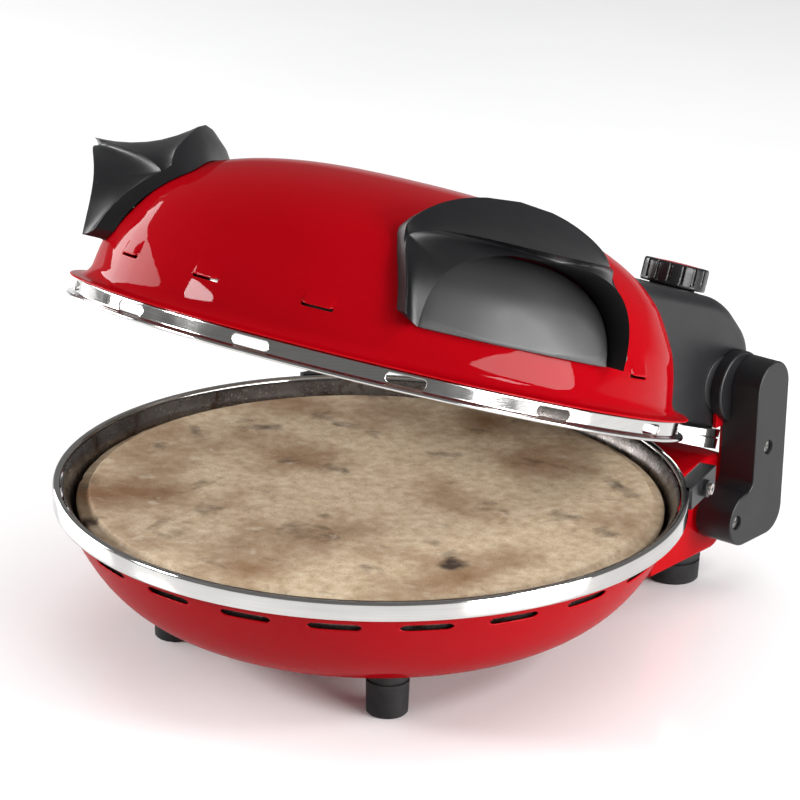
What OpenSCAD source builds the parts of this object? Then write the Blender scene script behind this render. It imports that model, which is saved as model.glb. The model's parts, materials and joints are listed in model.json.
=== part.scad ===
// Countertop pizza oven: a round steel base with a baking stone, and a domed lid on a rear hinge.
// Millimetres, Z up.  Modelling coordinates have their origin on the table under the centre of
// the round base, with -Y to the user and +X to the right; oven_frame() moves them so that the
// finished part stands on the middle of its own footprint.

/* [Base] */
// Outer radius of the bright rim around the base
rim_r = 178; // [176:0.5:180]
// Height of the top of the rim above the table
rim_top = 92.6; // [91:0.2:94]
// Radius of the red bowl at its mouth
bowl_r = 173; // [172:0.5:174]
// Height of the bowl's underside above the table
bowl_floor = 20; // [18:1:22]
// Number of vent slots that a full turn of the bowl would have
slot_count = 22; // [18:1:26]
// Length of one vent slot
slot_len = 29; // [20:1:34]
// Half width of the rear neck that carries the hinge
neck_half_w = 104; // [100:1:104]

/* [Stone and heat] */
// Radius of the baking stone
stone_r = 165; // [150:1:165]
// Thickness of the baking stone
stone_t = 12; // [9:1:14]
// Radius of the heating element tubes
tube_r = 3.3; // [2.5:0.1:4]

/* [Lid] */
// How far the lid stands open, in degrees
lid_open = 19.6; // [0:0.2:70]
// Radius that the dome's wall tends to at its foot
dome_r = 166.4; // [165:0.2:167]
// Height of the dome's crown above the lid's lip
dome_top = 104.3; // [100:0.5:110]
// Outer radius of the red flange at the dome's foot
flange_r = 175.7; // [174:0.1:176]
// Thickness of the sheet steel
sheet = 1; // [0.8:0.1:1.2]
// Length of one oval hole in the lid's collar
hole_len = 21; // [14:1:24]

/* [Hinge and arms] */
// Distance of the hinge axis behind the centre of the base
hinge_y = 193; // [192:0.5:194]
// Height of the hinge axis
hinge_z = 123.7; // [123:0.1:125]
// Radius of the hinge pins
pin_r = 4; // [3:0.5:5]
// Outer face of the arm covers
arm_x = 130; // [128:1:132]
// Wall of the moulded covers
wall = 2.5; // [2:0.1:3]

/* [Handles] */
// Angle of each handle round the lid, counted from the front
handle_az = 62; // [60:0.5:64]
// Half length of a handle
handle_a = 66; // [60:1:68]
// How far the wing of a handle reaches from the lid's axis
ridge_v = 184; // [180:1:188]

/* [Knob] */
// Radius of the thermostat knob
knob_r = 19.4; // [18:0.2:20]
// Number of grip grooves round the knob
knob_grooves = 16; // [12:1:24]

/* [Hidden] */
$fn = 64;
eps = 0.01;
frame_y = 24;                        // middle of the footprint, behind the centre of the base
rear_y = 226;                        // rearmost face, on the arm covers
bowl_top = 82;
lip_z = rim_top + 0.3;               // underside of the shut lid, clear of the rim
dome_hw = -46.7;                     // height at which the dome's curve would be vertical
dome_n = 2.6;                        // fullness of the dome in plan and in height
dome_m = 4.2;
dome_a0 = 9.5;                       // where the dome's curve meets its flange
dome_steps = 14;
collar_r = 171.2;
lip_r = 175.3;
stone_top = 86;
run = 0.05;                          // radial running clearance on the pins
joint_swell = 1.04;                  // a tube's elbow is this much fatter than the tube
knob_x = 62.3;
knob_y = 182.5;
knob_z = 172;
knob_h = 13.5;
cap_r = knob_r - 4.9;
foot_pos = [[77, -78, 12], [-77, -78, 12], [84, 184, 15.5], [-84, 184, 15.5]];
arm_holes = [[178.6, 47.6], [208, 86.5]];
bracket_holes = [[192, 42], [200, 66]];
plate_x_out = neck_half_w + 2.3;      // outer face of the hinge brackets
knuckle = [[rear_y - 22, 120], 21.5]; // round shoulder on the inner side of each arm
bracket_web = [187, 98];                // front lower corner of the bracket's web
tongue_x = [88, neck_half_w - 0.5];   // width of the bright tongues under the housing
tongue_turn = [158, 186, 206];        // where their outer face starts, reaches full width and ends
cheek_x = [98.2, 100.2];              // the upright of each tongue, which turns on the pin
red = [0.72, 0.02, 0.04];
steel = [0.78, 0.77, 0.75];
black = [0.09, 0.09, 0.1];

// ---------- helpers ----------

// Points on an arc, counted in degrees from the first axis
function arc(c, r, a0, a1, n = 8) =
    [for (i = [0:n]) c + r * [cos(a0 + (a1 - a0) * i / n), sin(a0 + (a1 - a0) * i / n)]];

function mix(p, q, t) = p + (q - p) * t;

module oven_frame() translate([0, -frame_y, 0]) children();

// Turns what is drawn for the shut lid to the opening at which the oven stands
module on_lid() oven_frame() translate([0, hinge_y, hinge_z]) rotate([-lid_open, 0, 0])
    translate([0, -hinge_y, -hinge_z]) children();

module both_sides() {
    children();
    mirror([1, 0, 0]) children();
}

// Draws a (Y, Z) outline as a plate from x0 to x1
module plate_x(x0, x1) translate([x0, 0, 0]) rotate([90, 0, 90]) linear_extrude(x1 - x0) children();

// A rod along X from x0 to x1
module rod_x(x0, x1, y, z, r) translate([x0, y, z]) rotate([0, 90, 0]) cylinder(h = x1 - x0, r = r);

// A round wire or tube through a list of points
module wire(points, r) {
    for (i = [0:len(points) - 2]) {
        d = points[i + 1] - points[i];
        translate(points[i]) rotate([0, acos(d[2] / norm(d)), atan2(d[1], d[0])])
            cylinder(h = norm(d), r = r);
    }
    for (p = points) translate(p) sphere(r = r * joint_swell);
}

// A cross-head screw that points down, with its seat at z = 0
module screw(head_r, head_h, shank_r, length) {
    difference() {
        cylinder(h = head_h, r = head_r);
        for (a = [0, 90]) rotate([0, 0, a])
            translate([-head_r * 0.6, -head_r * 0.13, head_h * 0.45])
                cube([head_r * 1.2, head_r * 0.26, head_h]);
    }
    translate([0, 0, -length]) cylinder(h = length + eps, r = shank_r);
}

// The same screw along X, with its head outwards and its seat at x
module screw_x(x, y, z, head_r, head_h, shank_r, length)
    translate([x, y, z]) rotate([0, 90, 0]) screw(head_r, head_h, shank_r, length);

// ---------- base ----------

// Half section of the bowl: flat underneath, turning up into a steep side
function bowl_line(r, z0, n = 14) =
    [for (i = [0:n]) [r * pow(i / n, 0.5), z0 + (bowl_top - z0) * pow(i / n, 3.5)]];

module bowl_solid(inset = 0) rotate_extrude()
    polygon(concat(bowl_line(bowl_r - inset, bowl_floor + inset), [[0, bowl_top + inset]]));

module neck_outline(inset = 0) polygon(concat(
    [[116, 60], [132, bowl_floor + inset]],
    arc([193, bowl_floor + 12], 12 - inset, -90, 0, 6),
    arc([195, 69.6], 10 - inset, 0, 90, 6),
    [[182.5, 79.6 - inset], [128, 71 - inset]]));

module bowl_slot(az) rotate([0, 0, az]) translate([-slot_len / 2, -bowl_r - 5, 72.2])
    cube([slot_len, 12, 4]);

module base_shell() color(red) oven_frame() difference() {
    union() {
        bowl_solid();
        plate_x(-neck_half_w, neck_half_w) neck_outline();
    }
    bowl_solid(sheet);
    plate_x(sheet - neck_half_w, neck_half_w - sheet) neck_outline(sheet);
    translate([0, 0, bowl_top]) cylinder(h = 10, r = bowl_r + 20);
    for (k = [-7:7]) bowl_slot(k * 360 / slot_count);
    for (f = foot_pos) translate([f[0], f[1], 10]) cylinder(h = 20, r = 2.1);
    both_sides() {
        for (p = bracket_holes) rod_x(90, neck_half_w + 1, p[0], p[1], 1.6);
        rod_x(90, neck_half_w + 1, arm_holes[0][0], arm_holes[0][1], 2.1);
    }
    translate([-55, 190, 46]) rotate([-90, 0, 0]) cylinder(h = 20, r = 6);
}

module rim_band() color(steel) oven_frame() rotate_extrude() polygon(concat(
    [[bowl_r + 0.2, bowl_top - 0.4], [rim_r, bowl_top - 0.4]],
    arc([rim_r - 2.2, rim_top - 2.2], 2.2, 0, 170, 10),
    [[rim_r - 5, bowl_top + 4], [rim_r - 5 + sheet, bowl_top + 4]],
    arc([rim_r - 2.2, rim_top - 2.2], 1, 170, 0, 6),
    [[rim_r - sheet, bowl_top + 0.6], [bowl_r + 0.2, bowl_top + 0.6]]));

// Upper surface of the dish, from its rim to the middle, and the side on which its metal lies
dish_line = [[172.4, 90.8], [170.6, 88], [166.8, 80], [165.7, 73], [158, 62], [148, 59], [0, 59]];
dish_side = [[1, 0], [1, 0], [1, 0], [1, -0.4], [0.7, -0.8], [0.2, -1], [0, -1]];

module at_element_ends() for (s = [-1, 1]) translate([110 * sin(14) * s, 110 * cos(14), 0]) children();

module base_dish() color([0.5, 0.49, 0.48]) oven_frame() difference() {
    rotate_extrude() polygon(concat(
        dish_line, [for (i = [len(dish_line) - 1:-1:0]) dish_line[i] + dish_side[i]]));
    at_element_ends() translate([0, 0, 50]) cylinder(h = 20, r = 6);
}

module stone() color([0.72, 0.58, 0.43]) oven_frame() rotate_extrude() polygon([
    [0, stone_top - stone_t], [stone_r - 4, stone_top - stone_t], [stone_r - 1, stone_top - 9],
    [stone_r, stone_top - 4], [stone_r - 1, stone_top - 3], [stone_r - 6, stone_top - 3],
    [stone_r - 8, stone_top], [0, stone_top]]);

module stone_supports() color(steel) oven_frame() for (a = [45:90:315]) rotate([0, 0, a])
    translate([138, 0, 59]) {
        cylinder(h = stone_top - stone_t - 59, r = 4);
        cylinder(h = 1.5, r = 7);
    }

module element_ring(r, z, gap) translate([0, 0, z]) rotate([0, 0, 90 + gap])
    rotate_extrude(angle = 360 - 2 * gap) translate([r, 0]) circle(r = tube_r);

module lower_element() color([0.25, 0.24, 0.23]) oven_frame() {
    element_ring(110, 66, 14);
    at_element_ends() {
        translate([0, 0, 66]) sphere(r = tube_r * joint_swell);
        translate([0, 0, 44]) cylinder(h = 22, r = tube_r);
    }
}

module lower_element_clips() color(steel) oven_frame() difference() {
    for (a = [150, 270, 30]) rotate([0, 0, a]) translate([103, -3, 59]) cube([14, 6, 7]);
    translate([0, 0, 66]) rotate_extrude() translate([110, 0]) circle(r = tube_r);
}

module element_bushes() color([0.93, 0.91, 0.85]) oven_frame() at_element_ends() difference() {
    union() {
        translate([0, 0, 55]) cylinder(h = 4, r = 6);
        translate([0, 0, 59]) cylinder(h = 2.5, r = 8.5);
    }
    translate([0, 0, 50]) cylinder(h = 20, r = tube_r);
}

block_floor = bowl_floor + sheet;
block_top = block_floor + 15;

module at_terminals() for (x = [-18, 0, 18]) for (y = [173, 182]) translate([x, y, block_top]) children();

module terminal_block() color([0.88, 0.86, 0.8]) oven_frame() difference() {
    translate([-28, 168, block_floor]) cube([56, 19, 15]);
    at_terminals() translate([0, 0, -9]) cylinder(h = 10, r = 1.8);
}

module terminal_screws() color([0.8, 0.65, 0.3]) oven_frame() at_terminals() screw(2.6, 1.6, 1.8, 8);

module base_wires() color([0.85, 0.85, 0.82]) oven_frame() {
    for (s = [-1, 1]) wire([[s * 26.6, 106.7, 42], [s * 26.6, 106.7, 32], [s * 18, 166, 30]], 1.4);
    for (s = [-1, 1]) wire([[s * 2 - 55, 198, 46], [s * 2 - 55, 191, 46], [s * 9 - 9, 189, 30]], 1.4);
}

module cable_gland() color(black) oven_frame() translate([-55, 0, 46]) rotate([-90, 0, 0]) difference() {
    union() {
        translate([0, 0, 199]) cylinder(h = 6, r = 6);
        translate([0, 0, 205]) cylinder(h = 3, r = 9);
        translate([0, 0, 208]) cylinder(h = 8, r1 = 7, r2 = 5.5);
        translate([0, 0, 201]) cylinder(h = 2.8, r = 7.5);
    }
    translate([0, 0, 195]) cylinder(h = 30, r = 3.6);
}

// ---------- feet ----------

module foot(f, height) translate([f[0], f[1], 0]) difference() {
    cylinder(h = height, r1 = f[2] - 0.6, r2 = f[2]);
    translate([0, 0, -eps]) cylinder(h = 6, r = 5);
    cylinder(h = height + 1, r = 2.1);
}

module front_feet() color(black) oven_frame() difference() {
    for (i = [0, 1]) foot(foot_pos[i], 27);
    bowl_solid();
}

module rear_feet() color(black) oven_frame() for (i = [2, 3]) foot(foot_pos[i], bowl_floor);

module foot_screws() color(steel) oven_frame() for (f = foot_pos)
    translate([f[0], f[1], 6]) rotate([180, 0, 0]) screw(4, 2.4, 2, 21);

// ---------- arms and hinge ----------

// Side outline of an arm: an upright post with a round top and a forward boss at its foot
module arm_outline(inset = 0) polygon(concat(
    arc([rear_y - 16, 122.5], 16 - inset, 180, 0, 24),
    arc([rear_y - 15, 46.5], 15 - inset, 0, -90, 8),
    arc([187, 47.3], 15.8 - inset, -90, -270, 18),
    arc([187, 70.1], 7 + inset, -90, 0, 6)));

module arm_boss(p) rod_x(plate_x_out, arm_x - wall, p[0], p[1], 5.5);

module arm_cover_right() color(black) oven_frame() difference() {
    union() {
        difference() {
            union() {
                plate_x(plate_x_out, arm_x) arm_outline();
                rod_x(neck_half_w + 0.15, plate_x_out + 4.7, knuckle[0][0], knuckle[0][1], knuckle[1]);
            }
            bracket_blank(0.95);
            plate_x(plate_x_out - 1, arm_x - wall) arm_outline(wall);
            rod_x(plate_x_out - 1, plate_x_out + 2.2, knuckle[0][0], knuckle[0][1], knuckle[1] - wall);
        }
        for (p = arm_holes) arm_boss(p);
    }
    for (p = arm_holes) {
        rod_x(neck_half_w, arm_x, p[0], p[1], 2.1);
        rod_x(arm_x - 4, arm_x + 1, p[0], p[1], 4.1);
    }
}

module arm_cover_left() mirror([1, 0, 0]) arm_cover_right();

module arm_screws() color(steel) oven_frame() both_sides() for (p = arm_holes)
    screw_x(arm_x - 4, p[0], p[1], 3.6, 2, 2, arm_x - 4 - neck_half_w + 0.2);

// The shape of a hinge bracket before it is drilled: post, round shoulder and the web between them
module bracket_blank(inset) {
    plate_x(neck_half_w, plate_x_out) arm_outline(inset);
    rod_x(neck_half_w, plate_x_out, knuckle[0][0], knuckle[0][1], knuckle[1] - inset);
    translate([neck_half_w, bracket_web[0], bracket_web[1]])
        cube([plate_x_out - neck_half_w, 14, 14]);
}

module hinge_bracket_right() color(red) oven_frame() difference() {
    bracket_blank(1);
    for (p = arm_holes) rod_x(neck_half_w - 1, plate_x_out + 1, p[0], p[1], 2.1);
    for (p = bracket_holes) rod_x(neck_half_w - 1, plate_x_out + 1, p[0], p[1], 1.6);
    rod_x(neck_half_w - 1, plate_x_out + 1, hinge_y, hinge_z, pin_r);
}

module hinge_bracket_left() mirror([1, 0, 0]) hinge_bracket_right();

module bracket_screws() color(steel) oven_frame() both_sides() for (p = bracket_holes)
    screw_x(plate_x_out, p[0], p[1], 3, 1.8, 1.5, 8);

washers_x = cheek_x[0] - 0.05 - 4 * 1.2;
clip_x = washers_x - 0.05 - 1.3;

module hinge_pins() color(steel) oven_frame() both_sides() difference() {
    union() {
        rod_x(clip_x - 1.2, plate_x_out + 1, hinge_y, hinge_z, pin_r);
        rod_x(plate_x_out, plate_x_out + 1.9, hinge_y, hinge_z, pin_r + 2.5);
    }
    difference() {
        rod_x(clip_x, clip_x + 1.3, hinge_y, hinge_z, pin_r + 1);
        rod_x(clip_x - 0.1, clip_x + 1.4, hinge_y, hinge_z, pin_r - 1);
    }
}

module pin_circlips() color(steel) oven_frame() both_sides() difference() {
    rod_x(clip_x, clip_x + 1.3, hinge_y, hinge_z, 7);
    rod_x(clip_x - 4, clip_x + 4, hinge_y, hinge_z, pin_r - 1);
}

// A stack of spring washers, which hold the lid where it is left
module friction_washers() color(steel) oven_frame() both_sides()
    translate([washers_x, hinge_y, hinge_z]) rotate([0, 90, 0]) for (k = [0:3])
        translate([0, 0, k * 1.2]) rotate_extrude() polygon(k % 2 == 0
            ? [[pin_r, 0], [8.5, 0.5], [8.5, 1.2], [pin_r, 0.7]]
            : [[pin_r, 0.5], [8.5, 0], [8.5, 0.7], [pin_r, 1.2]]);

// The clamp that holds the rim to the base in front of each arm
clip_start = [139, 107, 80];
clip_turn = 104.7;

module rim_clip_right() color(black) oven_frame() difference() {
    translate(clip_start) rotate([0, 0, clip_turn]) {
        translate([0, -5, 0]) cube([40, 10, 13.4]);
        translate([20, -6.5, 6.5]) rotate([90, 0, 0]) cylinder(h = 3, r = 5, center = true);
    }
    translate([0, 0, 70]) cylinder(h = rim_top + 0.1 - 70, r = rim_r + 0.2);
    translate([0, 0, 70]) cylinder(h = 40, r = rim_r - 1.7);
    translate(clip_start) rotate([0, 0, clip_turn]) translate([20, -4, 6.5]) rotate([90, 0, 0])
        cylinder(h = 20, r = 1.6, center = true);
}

module rim_clip_left() mirror([1, 0, 0]) rim_clip_right();

module rim_clip_screws() color(steel) oven_frame() both_sides()
    translate(clip_start) rotate([0, 0, clip_turn]) translate([20, -8, 6.5]) rotate([90, 0, 0])
        screw(3.2, 2, 1.5, 7);

// ---------- lid ----------

// A point on the dome's curve at angle a, as [radius, height above the lip]
function dome_pt(a, out = 0) = [
    (dome_r + out) * pow(cos(a), 2 / dome_n),
    dome_hw + (dome_top - dome_hw + out) * pow(sin(a), 2 / dome_m)];

// Radius of the dome at height h, and its height at radius r
function dome_r_at(h) =
    dome_r * pow(1 - pow((h - dome_hw) / (dome_top - dome_hw), dome_m), 1 / dome_n);
function dome_h_at(r) =
    dome_hw + (dome_top - dome_hw) * pow(1 - pow(r / dome_r, dome_n), 1 / dome_m);

function dome_line(out = 0) =
    [for (i = [0:dome_steps]) dome_pt(dome_a0 + (90 - dome_a0) * i / dome_steps, out)];

function reversed(list) = [for (i = [len(list) - 1:-1:0]) list[i]];

// What the lid fills, down to its lip and below
module dome_solid(out = 0) translate([0, 0, lip_z]) rotate_extrude() polygon(concat(
    [[0, -40], [flange_r + out, -40], [flange_r + out, 12.2 + out], [170 + out, 12.6 + out],
     [166.8 + out, 14.6 + out]], dome_line(out)));

module at_az(az) rotate([0, 0, az]) children();

module bolt_hole(u, h, r, reach = 170) at_az(handle_az) translate([u, 0, lip_z + h]) rotate([90, 0, 0])
    cylinder(h = reach, r = r);

leg_x = 25;
leg_h = 66;

module leg_holes(r) for (s = [-1, 1]) translate([s * leg_x, 90, lip_z + leg_h]) rotate([-90, 0, 0])
    cylinder(h = 70, r = r);

module capillary_hole(r) translate([knob_x, 120, 118]) rotate([-90, 0, 0]) cylinder(h = 40, r = r);

module lid_dome() color(red) on_lid() difference() {
    translate([0, 0, lip_z]) rotate_extrude() polygon(concat(
        dome_line(), reversed(dome_line(-sheet)),
        [[165.4, 13.4], [168.6, 11], [flange_r, 11], [flange_r, 12.2], [169.6, 12.4], [166.6, 14.4]]));
    for (az = [-94, -23.5, 0, 23.5, 94]) at_az(az) translate([-8.5, -178, lip_z + 31])
        cube([17, 28, 2.6]);
    leg_holes(tube_r + 0.4);
    capillary_hole(1.5);
    both_sides() for (s = [-1, 1]) {
        bolt_hole(s * 36, 50, 1.6);
        bolt_hole(s * 61, 56, 1.6);
    }
}

module collar_hole(az) at_az(az) translate([0, -160, lip_z + 6.2]) rotate([90, 0, 0]) {
    translate([-hole_len / 2 + 2.6, -2.6, 0]) cube([hole_len - 5.2, 5.2, 20]);
    for (s = [-1, 1]) translate([s * (hole_len / 2 - 2.6), 0, 0]) cylinder(h = 20, r = 2.6);
}

module lid_collar() color(steel) on_lid() difference() {
    translate([0, 0, lip_z]) rotate_extrude() polygon(concat(
        [[collar_r - sheet, 1.2]], arc([collar_r, 1.2], 1.2, 180, 270, 4),
        arc([lip_r - 1, 1], 1, -90, 90, 8),
        [[collar_r, 2], [collar_r, 11], [160, 11], [160, 11 - sheet], [collar_r - sheet, 11 - sheet]]));
    for (az = [-98:28:98]) collar_hole(az);
}

reflector_line = [[169, 9.6], [159.2, 9.6], [157, 16], [153, 36], [136, 64], [108, 80], [60, 86], [0, 87]];

module lid_reflector() color([0.72, 0.72, 0.72]) on_lid() difference() {
    translate([0, 0, lip_z]) rotate_extrude() polygon(concat(
        reflector_line, [[0, 86], [60, 85], [107.5, 79], [135, 63.4], [152, 35.8], [156, 16], [158, 8.6],
        [169, 8.6]]));
    leg_holes(tube_r + 0.4);
    capillary_hole(1.5);
}

module upper_element() color([0.25, 0.24, 0.23]) on_lid() translate([0, 0, lip_z + leg_h]) {
    loop_r = 104;
    side = asin(leg_x / loop_r);
    element_ring(loop_r, 0, side);
    for (s = [-1, 1]) {
        translate([s * leg_x, loop_r * cos(side), 0]) sphere(r = tube_r * joint_swell);
        translate([s * leg_x, loop_r * cos(side), 0]) rotate([-90, 0, 0]) cylinder(h = 60, r = tube_r);
    }
}

module upper_element_clips() color(steel) on_lid() translate([0, 0, lip_z + leg_h]) difference() {
    for (a = [210, 330, 90 + 25, 90 - 25]) rotate([0, 0, a]) translate([99, -3, -1]) cube([10, 6, 15.5]);
    rotate_extrude() translate([104, 0]) circle(r = tube_r);
    translate([0, 0, -lip_z - leg_h]) dome_cut();
}

// Everything above the underside of the reflector's crown
module dome_cut() translate([0, 0, lip_z]) rotate_extrude()
    polygon([[107.5, 79], [60, 85], [0, 86], [0, 100], [140, 100], [140, 60.4], [135, 63.4]]);

// ---------- handles ----------
// Points are [u, v, h]: along the handle, out from the lid's axis, and up from the lid's lip.

foot_h = 34;
arch_n = 2.7;
rim_arch = [61, 48];                 // half width and height of the finger pocket's mouth
deep_arch = [57, 45];                // the same where the pocket meets the dome
pad_arch = [55.4, 42];
edge_arch = [handle_a, 52];          // the handle's own edge, as a rounded rectangle
edge_n = 6;
ridge_end = 64;                      // how far the wing falls back at its ends
stations = 32;
gap = 0.4;                           // between the handles and the dome

function dome_v(u, h) = sqrt(pow(dome_r_at(h - gap), 2) - u * u) + gap;
function bow(a, size, n) = [
    sign(cos(a)) * size[0] * pow(abs(cos(a)), 2 / n), foot_h + size[1] * pow(sin(a), 2 / n)];
function ridge_at(u) = ridge_v - ridge_end * pow(u / handle_a, 2);
function mouth_v(u, h) =
    164 + (ridge_v - 167) * (h - foot_h) / rim_arch[1] * max(0, 1 - pow(u / 62, 2));
function rim_pt(a) = let (p = bow(a, rim_arch, arch_n)) [p[0], mouth_v(p[0], p[1]), p[1]];
function deep_pt(a) = let (p = bow(a, deep_arch, arch_n)) [p[0], dome_v(p[0], p[1]), p[1]];
function edge_pt(a) = let (p = bow(a, edge_arch, edge_n))
    [p[0], max(ridge_at(p[0]), dome_v(p[0], p[1]) + 10), p[1]];
function lift(a) = max(0, ((edge_pt(a)[2] - foot_h) / edge_arch[1] - 0.75) / 0.25);
function crest_pt(a) = let (p = edge_pt(a), q = pow(p[0] / handle_a, 2))
    mix([p[0], p[1] - 2, p[2]], [p[0], 124 - 4 * q, dome_top + 3 - 19.3 * q], lift(a));
function back_pt(a) = let (p = edge_pt(a),
        h = mix(p[2], dome_h_at(norm([p[0], 110])), lift(a))) [p[0], dome_v(p[0], h), h];

// One closed loop round the hood's section at station angle a
function hood_loop(a) = let (r = rim_pt(a), e = edge_pt(a), c = crest_pt(a), b = back_pt(a), d = deep_pt(a))
    concat(
        [for (t = [0:0.25:0.8]) mix(r, e, t) - [0, 0.5 * norm(e - r) * t * (1 - t), 0]],
        [for (t = [0:0.25:0.8]) [mix(e[0], c[0], t), mix(e[1], c[1], t), mix(e[2], c[2], pow(t, 2.2))]],
        [c, mix(c, b, 0.5) + [0, -1.5, 1] * lift(a)],
        [for (t = [0:0.125:1]) let (m = mix(b, d, t)) [m[0], dome_v(m[0], m[2]), m[2]]],
        [mix(d, r, 0.5)]);

// The middle of a loop, from which the hood's foot is closed
function middle(loop) = [for (k = [0:2]) [for (p = loop) 1] * [for (p = loop) p[k]] / len(loop)];

module handle_hood() {
    loops = [for (i = [0:stations]) hood_loop(180 * min(max(i / stations, 0.0005), 0.9995))];
    n = len(loops[0]);
    last = stations * n;
    corners = [for (l = loops) each l, middle(loops[0]), middle(loops[stations])];
    points = [for (p = corners) [p[0], -p[1], p[2]]];
    sides = [for (i = [0:stations - 1]) for (j = [0:n - 1])
        [i * n + j, i * n + (j + 1) % n, (i + 1) * n + (j + 1) % n, (i + 1) * n + j]];
    feet = [for (j = [0:n - 1]) each [
        [(j + 1) % n, j, last + n], [last + j, last + (j + 1) % n, last + n + 1]]];
    polyhedron(points, concat(sides, feet), convexity = 6);
}

module handle_right() color(black) on_lid() difference() {
    at_az(handle_az) translate([0, 0, lip_z]) handle_hood();
    for (s = [-1, 1]) bolt_hole(s * 61, 56, 1.5, 148);
}

module handle_left() color(black) on_lid() difference() {
    mirror([1, 0, 0]) at_az(handle_az) translate([0, 0, lip_z]) handle_hood();
    mirror([1, 0, 0]) for (s = [-1, 1]) bolt_hole(s * 61, 56, 1.5, 148);
}

// The plate that lines the dome inside the finger pocket
module handle_pad_right() color([0.2, 0.2, 0.21]) on_lid() difference() {
    intersection() {
        translate([0, 0, lip_z]) rotate_extrude() polygon(concat(
            [for (h = [foot_h:6:foot_h + 42]) [dome_r_at(h) + 0.2, h]],
            [for (h = [foot_h + 42:-6:foot_h]) [dome_r_at(h) + 3.2, h]]));
        at_az(handle_az) translate([0, -100, lip_z]) rotate([90, 0, 0]) linear_extrude(80)
            polygon(concat([[-pad_arch[0], foot_h - 1], [pad_arch[0], foot_h - 1]],
                [for (i = [0:24]) bow(i * 7.5, pad_arch, arch_n)]));
    }
    for (s = [-1, 1]) bolt_hole(s * 36, 50, 1.5, 154);
}

module handle_pad_left() color([0.2, 0.2, 0.21]) mirror([1, 0, 0]) handle_pad_right();

module handle_bolt(u, h, v, length) at_az(handle_az) translate([u, -v, lip_z + h])
    rotate([-90, 0, 0]) screw(3.2, 2, 1.5, length);

module handle_screws() color(steel) on_lid() both_sides() for (s = [-1, 1]) {
    handle_bolt(s * 36, 50, 148, 6);
    handle_bolt(s * 61, 56, 135, 13);
}

// ---------- rear housing ----------

top_arc = [[165, 141], 30];
drum_arc = [[187.6, 126], 38.2];
housing_low = 97;
tongue_low = 85.2;
housing_half_w = 103;
// Direction in which one straight line touches both arcs
touch = let (d = drum_arc[0] - top_arc[0])
    acos((top_arc[1] - drum_arc[1]) / norm(d)) + atan2(d[1], d[0]);

module housing_side(inset = 0) {
    low = -asin((drum_arc[0][1] - housing_low - inset) / (drum_arc[1] - inset));
    polygon(concat([[60, housing_low + inset]],
        arc(drum_arc[0], drum_arc[1] - inset, low, touch, 24),
        arc(top_arc[0], top_arc[1] - inset, touch, 90, 6),
        [[60, top_arc[0][1] + top_arc[1] - inset]]));
}

module housing_block(inset = 0) {
    w = housing_half_w - inset;
    intersection() {
        plate_x(-w, w) housing_side(inset);
        linear_extrude(200) polygon(concat([[-w, 50]], [[w, 50]],
            arc([housing_half_w - 10, rear_y - 10.5], 10 - inset, 0, 90),
            arc([10 - housing_half_w, rear_y - 10.5], 10 - inset, 90, 180)));
        translate([0, 240, 0]) rotate([90, 0, 0]) linear_extrude(200) polygon(concat(
            [[-w, 80], [w, 80]],
            arc([housing_half_w - 16, 155], 16 - inset, 0, 90, 12),
            arc([16 - housing_half_w, 155], 16 - inset, 90, 180, 12)));
    }
}

module rear_housing() color(black) on_lid() difference() {
    union() {
        difference() {
            housing_block();
            translate([0, -1, 0]) housing_block(wall);
            dome_solid(0.3);
        }
        both_sides() rod_x(housing_half_w - wall - eps, neck_half_w - 0.1, hinge_y, hinge_z, 16);
        translate([knob_x, knob_y, 150]) cylinder(h = knob_z - 151, r = knob_r - 2.5);
    }
    both_sides() {
        rod_x(90, neck_half_w, hinge_y, hinge_z, pin_r + run);
        translate([cheek_x[0] - 0.2, 183.5, housing_low - 1])
            cube([cheek_x[1] - cheek_x[0] + 0.4, 19, wall + 2]);
    }
    translate([knob_x, knob_y, 140]) cylinder(h = 40, r = 3.6);
    for (s = [-1, 1]) translate([knob_x + s * 8, knob_y, 0]) {
        translate([0, 0, 140]) cylinder(h = 40, r = 1.6);
        translate([0, 0, 168]) cylinder(h = 5, r = 2.9);
    }
}

// The bright tongue from the collar, with an upright inside the housing that turns on the pin
module tongue_plan(inset) polygon([
    [tongue_x[0] + inset, tongue_turn[0] + 3.9 * inset], [tongue_x[1] - inset, tongue_turn[1] + 0.3 * inset],
    [tongue_x[1] - inset, tongue_turn[2] - inset], [tongue_x[0] + inset, tongue_turn[2] - inset]]);

module hinge_link_right() color(steel) on_lid() difference() {
    union() {
        difference() {
            union() {
                translate([tongue_x[0], 120, lip_z + 2.8])
                    cube([tongue_x[1] - tongue_x[0], tongue_turn[2] - 120, housing_low - lip_z - 2.85]);
                translate([0, 0, tongue_low]) linear_extrude(housing_low - 0.05 - tongue_low) tongue_plan(0);
            }
            translate([0, 0, tongue_low - 1]) linear_extrude(housing_low - 1 - tongue_low) tongue_plan(2);
        }
        plate_x(cheek_x[0], cheek_x[1]) {
            translate([184, housing_low - 2.5]) square([18, hinge_z - housing_low + 2.5]);
            translate([hinge_y, hinge_z]) circle(r = 9);
        }
    }
    translate([0, 0, 80]) cylinder(h = 40, r = collar_r + 0.1);
    rod_x(90, 110, hinge_y, hinge_z, pin_r + run);
    translate([0, 0, tongue_low + 6.2]) linear_extrude(0.8) difference() {
        translate([tongue_x[0] + 4, 166]) square([20, 60]);
        tongue_plan(0.8);
    }
}

module hinge_link_left() mirror([1, 0, 0]) hinge_link_right();

// ---------- thermostat ----------

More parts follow.
